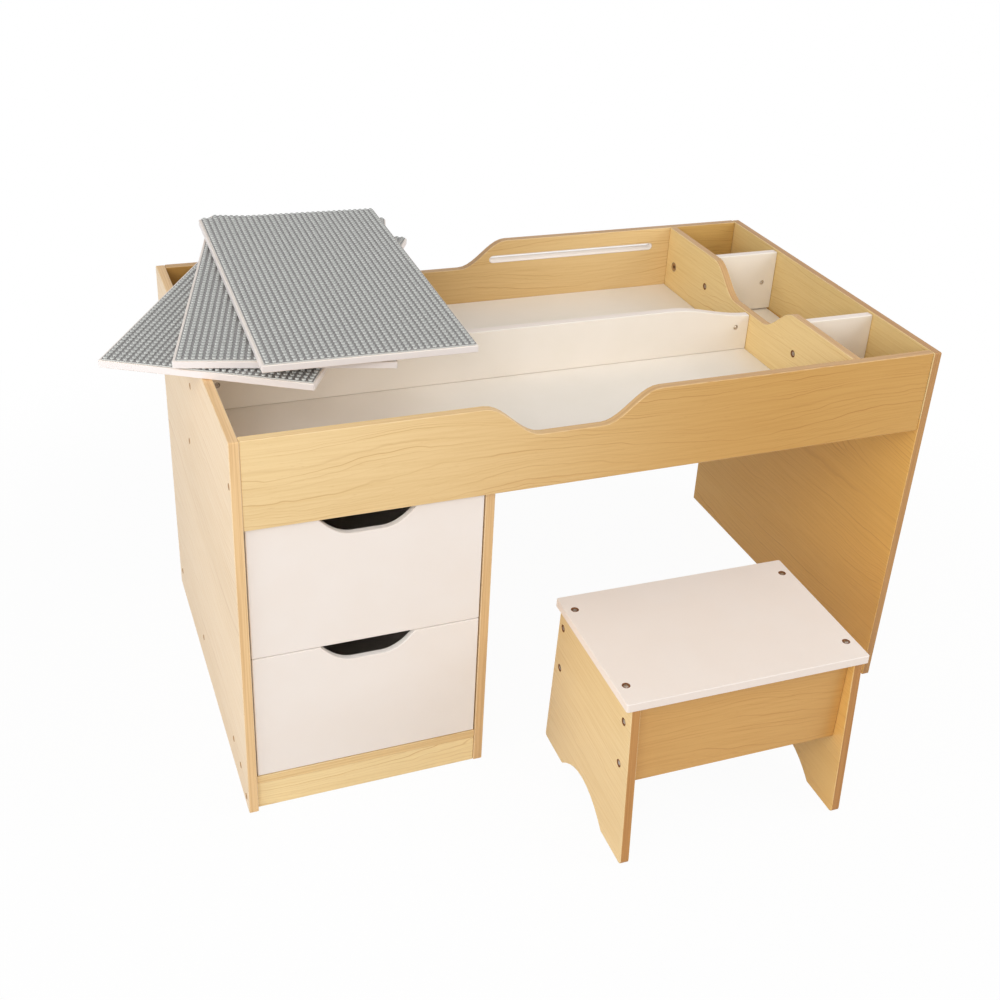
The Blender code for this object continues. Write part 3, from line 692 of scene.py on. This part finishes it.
CAM_FINISH = steel("cam_steel", CAM_STEEL_HIGHLIGHT, CAM_STEEL_HIGHLIGHT_DARK)
CHIPBOARD_AND_SHADE_FINISH = chipboard("chipboard_core", CHIPBOARD_AND_SHADE, CHIPBOARD_AND_SHADE_DARK)
CAP_FINISH = chipboard("screw_cap", CAP_BROWN, CAP_BROWN_DARK)
CAM_HEAD_FINISH = cam_head("cam_head", "caddy_cam")


def dress(material, *names):
    for name in names:
        frame["nodes"][name].material_slots[0].material = material


def dress_nodes():
    dress(FRONT_FINISH, "front_apron")
    dress(PLINTH_FINISH, "cabinet_plinth", "cabinet_rear_plinth")
    dress(BACK_FINISH, "back_panel")
    dress(RAIL_FINISH, "stool_rail_front", "stool_rail_rear")
    dress(SIDE_FINISH, "left_side_panel", "right_side_panel", "cabinet_upright")
    dress(DIVIDER_FINISH, "caddy_divider")
    dress(LEG_FINISH, "stool_leg_left", "stool_leg_right")
    dress(BOTTOM_FINISH, "cabinet_bottom")
    dress(WHITE_FLAT_FINISH, "stool_seat")
    dress(TRAY_FINISH, "tray_floor", "caddy_floor")
    dress(PARTITION_FINISH, "inner_divider", "cabinet_back")
    dress(PARTITION_FINISH, "caddy_partition_front", "caddy_partition_rear")
    dress(WHITE_FRONT_FINISH, "paper_slot_liner", "drawer_lower_front", "drawer_upper_front")
    for level in ("lower", "upper"):
        drawer = "drawer_" + level
        dress(WHITE_SIDE_FINISH, drawer + "_left_side", drawer + "_right_side")
        dress(PARTITION_FINISH, drawer + "_back")
        dress(WHITE_FLAT_FINISH, drawer + "_bottom")
        for side in ("left", "right"):
            dress(RUNNER_FINISH, "runner_" + level + "_" + side)
    for level in BOARD_TURNS:
        dress(WHITE_BOARD_FINISH, "board_" + level + "_panel")
    for name in frame["nodes"]:
        if "bolt" in name:
            dress(STEEL_FINISH, name)
        elif "_cam" in name:
            dress(CAM_FINISH, name)
    dress(CAM_HEAD_FINISH, "caddy_cam")


# New pieces


def new_object(name, data):
    """A new object, linked to the scene."""
    thing = bpy.data.objects.new(name, data)
    bpy.context.scene.collection.objects.link(thing)
    return thing


def smooth(mesh, material, sharp):
    """Gives a mesh its finish and smooth shading, with crisp edges where it bends more than sharp."""
    mesh.materials.append(material)
    mesh.shade_smooth()
    mesh.set_sharp_from_angle(angle=sharp)


# Stud plates


def stud_rings():
    """Radius and height of a stud's rings, from its foot to the edge of its flat top."""
    shoulder = STUD_HEIGHT - STUD_ROUND
    knee = STUD_ROUND * (1 - math.sqrt(0.5))
    return [
        (STUD_RADIUS, 0.0),
        (STUD_RADIUS, shoulder),
        (STUD_RADIUS - knee, STUD_HEIGHT - knee),
        (STUD_RADIUS - STUD_ROUND, STUD_HEIGHT),
    ]


def add_studs(points, faces):
    """Appends every stud of the plate to the lists of points and faces."""
    outline = stud_rings()
    turns = [2 * math.pi * side / STUD_SIDES for side in range(STUD_SIDES)]
    shape = [(r * math.cos(t), r * math.sin(t), STUD_FOOT + h) for r, h in outline for t in turns]
    for row in range(STUDS_ALONG):
        for column in range(STUDS_ACROSS):
            x = (column - (STUDS_ACROSS - 1) / 2) * STUD_PITCH
            y = (row - (STUDS_ALONG - 1) / 2) * STUD_PITCH
            first = len(points)
            points.extend((x + px, y + py, pz) for px, py, pz in shape)
            for level in range(len(outline) - 1):
                low = first + level * STUD_SIDES
                for side in range(STUD_SIDES):
                    after = (side + 1) % STUD_SIDES
                    up = low + STUD_SIDES
                    faces.append((low + side, low + after, up + after, up + side))
            last = first + (len(outline) - 1) * STUD_SIDES
            faces.append(tuple(last + side for side in range(STUD_SIDES)))


def rounded_outline(half_x, half_y, radius, steps=5):
    """Points of a rectangle with round corners, each corner in a number of steps."""
    points = []
    for quarter, (way_x, way_y) in enumerate(((1, 1), (-1, 1), (-1, -1), (1, -1))):
        for step in range(steps + 1):
            turn = math.pi / 2 * (quarter + step / steps)
            x = way_x * (half_x - radius) + radius * math.cos(turn)
            y = way_y * (half_y - radius) + radius * math.sin(turn)
            points.append((x, y))
    return points


def stud_plate_mesh():
    """A plate with its studs."""
    outline = rounded_outline(STUDS_ACROSS * STUD_PITCH / 2, STUDS_ALONG * STUD_PITCH / 2, PLATE_CORNER)
    count = len(outline)
    points = [(x, y, 0.0) for x, y in outline] + [(x, y, STUD_FOOT) for x, y in outline]
    faces = [tuple(reversed(range(count))), tuple(range(count, 2 * count))]
    for side in range(count):
        after = (side + 1) % count
        faces.append((side, after, count + after, count + side))
    add_studs(points, faces)
    mesh = bpy.data.meshes.new("stud_plate")
    mesh.from_pydata(points, [], faces)
    smooth(mesh, STUD_FINISH, STUD_SHARP)
    return mesh


def add_stud_plates():
    mesh = stud_plate_mesh()
    for level, turn in BOARD_TURNS.items():
        node = "board_" + level + "_plate"
        plate = new_object("stud_plate_" + level, mesh)
        plate.location = (*middle_of(node).xy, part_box(node)[0].z)
        plate.rotation_euler.z = turn
        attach(plate, "board_" + level)
        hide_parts(node)


# Small turned pieces


def add_piece(name, shape, material, body):
    """Makes a piece of the shape, which rides on a body and takes a material slot."""
    mesh = bpy.data.meshes.new(name)
    shape.to_mesh(mesh)
    shape.free()
    smooth(mesh, material, TURNED_SHARP)
    piece = new_object(name, mesh)
    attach(piece, body)


def add_turned(shape, place, normal, profile, ring=False, sides=20):
    """Adds a solid of revolution to the shape, as a ring or with flat ends."""
    to_place = Matrix.Translation(place) @ Vector(normal).to_track_quat("Z", "Y").to_matrix().to_4x4()
    loops = []
    for radius, height in profile:
        points = []
        for side in range(sides):
            angle = 2 * math.pi * side / sides
            points.append(to_place @ Vector((radius * math.cos(angle), radius * math.sin(angle), height)))
        loops.append([shape.verts.new(point) for point in points])
    pairs = list(zip(loops, loops[1:]))
    if ring:
        pairs.append((loops[-1], loops[0]))
    else:
        shape.faces.new(loops[-1])
        shape.faces.new(list(reversed(loops[0])))
    for low, high in pairs:
        for side in range(sides):
            after = (side + 1) % sides
            shape.faces.new((low[side], low[after], high[after], high[side]))


def add_caps():
    """The caps over the screws, on the outer faces of both side panels."""
    for name, face, normal in (("left", TABLE.x, (-1, 0, 0)), ("right", RIGHT_FACE, (1, 0, 0))):
        shape = bmesh.new()
        for y, z in CAP_PLACES:
            add_turned(shape, Vector((face, TABLE.y + y, TABLE.z + z)), normal, CAP_PROFILE)
        add_piece("screw_caps_" + name, shape, CAP_FINISH, "table")


def add_cam_ring():
    """The pressed ring round the cam that holds the caddy divider to the back panel."""
    middle = middle_of("caddy_cam")
    shape = bmesh.new()
    add_turned(shape, Vector((CADDY_LEFT, middle.y, middle.z)), (-1, 0, 0), CAM_RING_PROFILE, ring=True)
    add_piece("caddy_cam_ring", shape, STEEL_FINISH, "table")


def bolt_face(node):
    """Middle of the panel's face over a bolt's head, and the way that the head faces."""
    low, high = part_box(node)
    middle = (low + high) / 2
    if node.startswith("seat"):
        return Vector((middle.x, middle.y, high.z + BOLT_SINK)), Vector((0, 0, 1))
    turn = 0.0 if node.startswith("caddy") else STOOL_TURN
    way = 1 if "_right" in node else -1
    normal = way * Vector((math.cos(turn), math.sin(turn), 0))
    return middle + normal * ((high.x - low.x) / 2 + BOLT_SINK), normal


def add_bolt_faces():
    """The rims of the bolt holes, raw chipboard darkened with painted shade, and the domes of the bolts,
    on the stool and in the caddy.
    """
    for body, starts in (("stool", ("seat_bolt", "leg_bolt")), ("table", ("caddy_bolt",))):
        rims, domes = bmesh.new(), bmesh.new()
        for node in frame["nodes"]:
            if node.startswith(starts):
                place, normal = bolt_face(node)
                add_turned(rims, place, normal, RIM_PROFILE, ring=True)
                add_turned(domes, place, normal, DOME_PROFILE)
        add_piece("bolt_rims_" + body, rims, CHIPBOARD_AND_SHADE_FINISH, body)
        add_piece("bolt_domes_" + body, domes, STEEL_FINISH, body)


# Stage


def add_floor():
    """A pale floor: white where it is seen, plain where it lights the object, with a soft shadow."""
    bpy.ops.mesh.primitive_plane_add(size=2 * FLOOR_REACH, location=(0.0, 0.0, -FLOOR_DROP))
    floor = bpy.context.object
    floor.name = "floor"
    material = bpy.data.materials.new("floor")
    g = Tree(material)
    g.tree.nodes.clear()
    diffuse = g.add("ShaderNodeBsdfDiffuse")
    g.feed(diffuse.inputs["Color"], FLOOR_COLOUR)
    white = g.add("ShaderNodeEmission")
    g.feed(white.inputs["Color"], WHITE)
    distance = g.length(g.add("ShaderNodeTexCoord").outputs["Object"])
    share = g.math("MULTIPLY", g.seen_rays(), g.ramp(distance, *FLOOR_FADE, FLOOR_WHITE_NEAR, 1.0))
    g.end("ShaderNodeOutputMaterial", share, diffuse, white)
    floor.data.materials.append(material)


def set_world():
    """White to the camera and in reflections, and a dimmer white light on everything else."""
    world = bpy.data.worlds.new("studio")
    bpy.context.scene.world = world
    g = Tree(world)
    g.tree.nodes.clear()
    ambient = g.add("ShaderNodeBackground")
    g.feed(ambient.inputs["Color"], WHITE)
    g.feed(ambient.inputs["Strength"], AMBIENT)
    white = g.add("ShaderNodeBackground")
    g.feed(white.inputs["Color"], WHITE)
    g.end("ShaderNodeOutputWorld", g.seen_rays(), ambient, white)


def add_softbox(name, place, power):
    light = bpy.data.lights.new(name, "AREA")
    light.shape = "SQUARE"
    light.size = SOFTBOX_SIZE
    light.energy = power
    box = new_object(name, light)
    box.location = TABLE + place
    box.rotation_euler = (LIGHT_AIM - place).to_track_quat("-Z", "Y").to_euler()
    box.visible_camera = False


def add_camera():
    data = bpy.data.cameras.new("camera")
    data.sensor_width = CAMERA_SENSOR
    data.lens = CAMERA_LENS
    data.shift_x, data.shift_y = CAMERA_SHIFT
    camera = new_object("camera", data)
    level = math.cos(CAMERA_PITCH)
    ahead = Vector((math.sin(CAMERA_YAW) * level, math.cos(CAMERA_YAW) * level, math.sin(CAMERA_PITCH)))
    right = Vector((math.cos(CAMERA_YAW), -math.sin(CAMERA_YAW), 0.0))
    up = right.cross(ahead)
    cosine, sine = math.cos(CAMERA_ROLL), math.sin(CAMERA_ROLL)
    columns = (cosine * right + sine * up, cosine * up - sine * right, -ahead)
    camera.matrix_world = Matrix.Translation(TABLE + CAMERA_PLACE) @ Matrix(columns).transposed().to_4x4()
    bpy.context.scene.camera = camera


dress_nodes()
add_stud_plates()
add_caps()
add_cam_ring()
add_bolt_faces()
add_floor()
set_world()
for name, (place, power) in SOFTBOXES.items():
    add_softbox(name, place, power)
add_camera()
bpy.context.scene.view_settings.view_transform = "Standard"
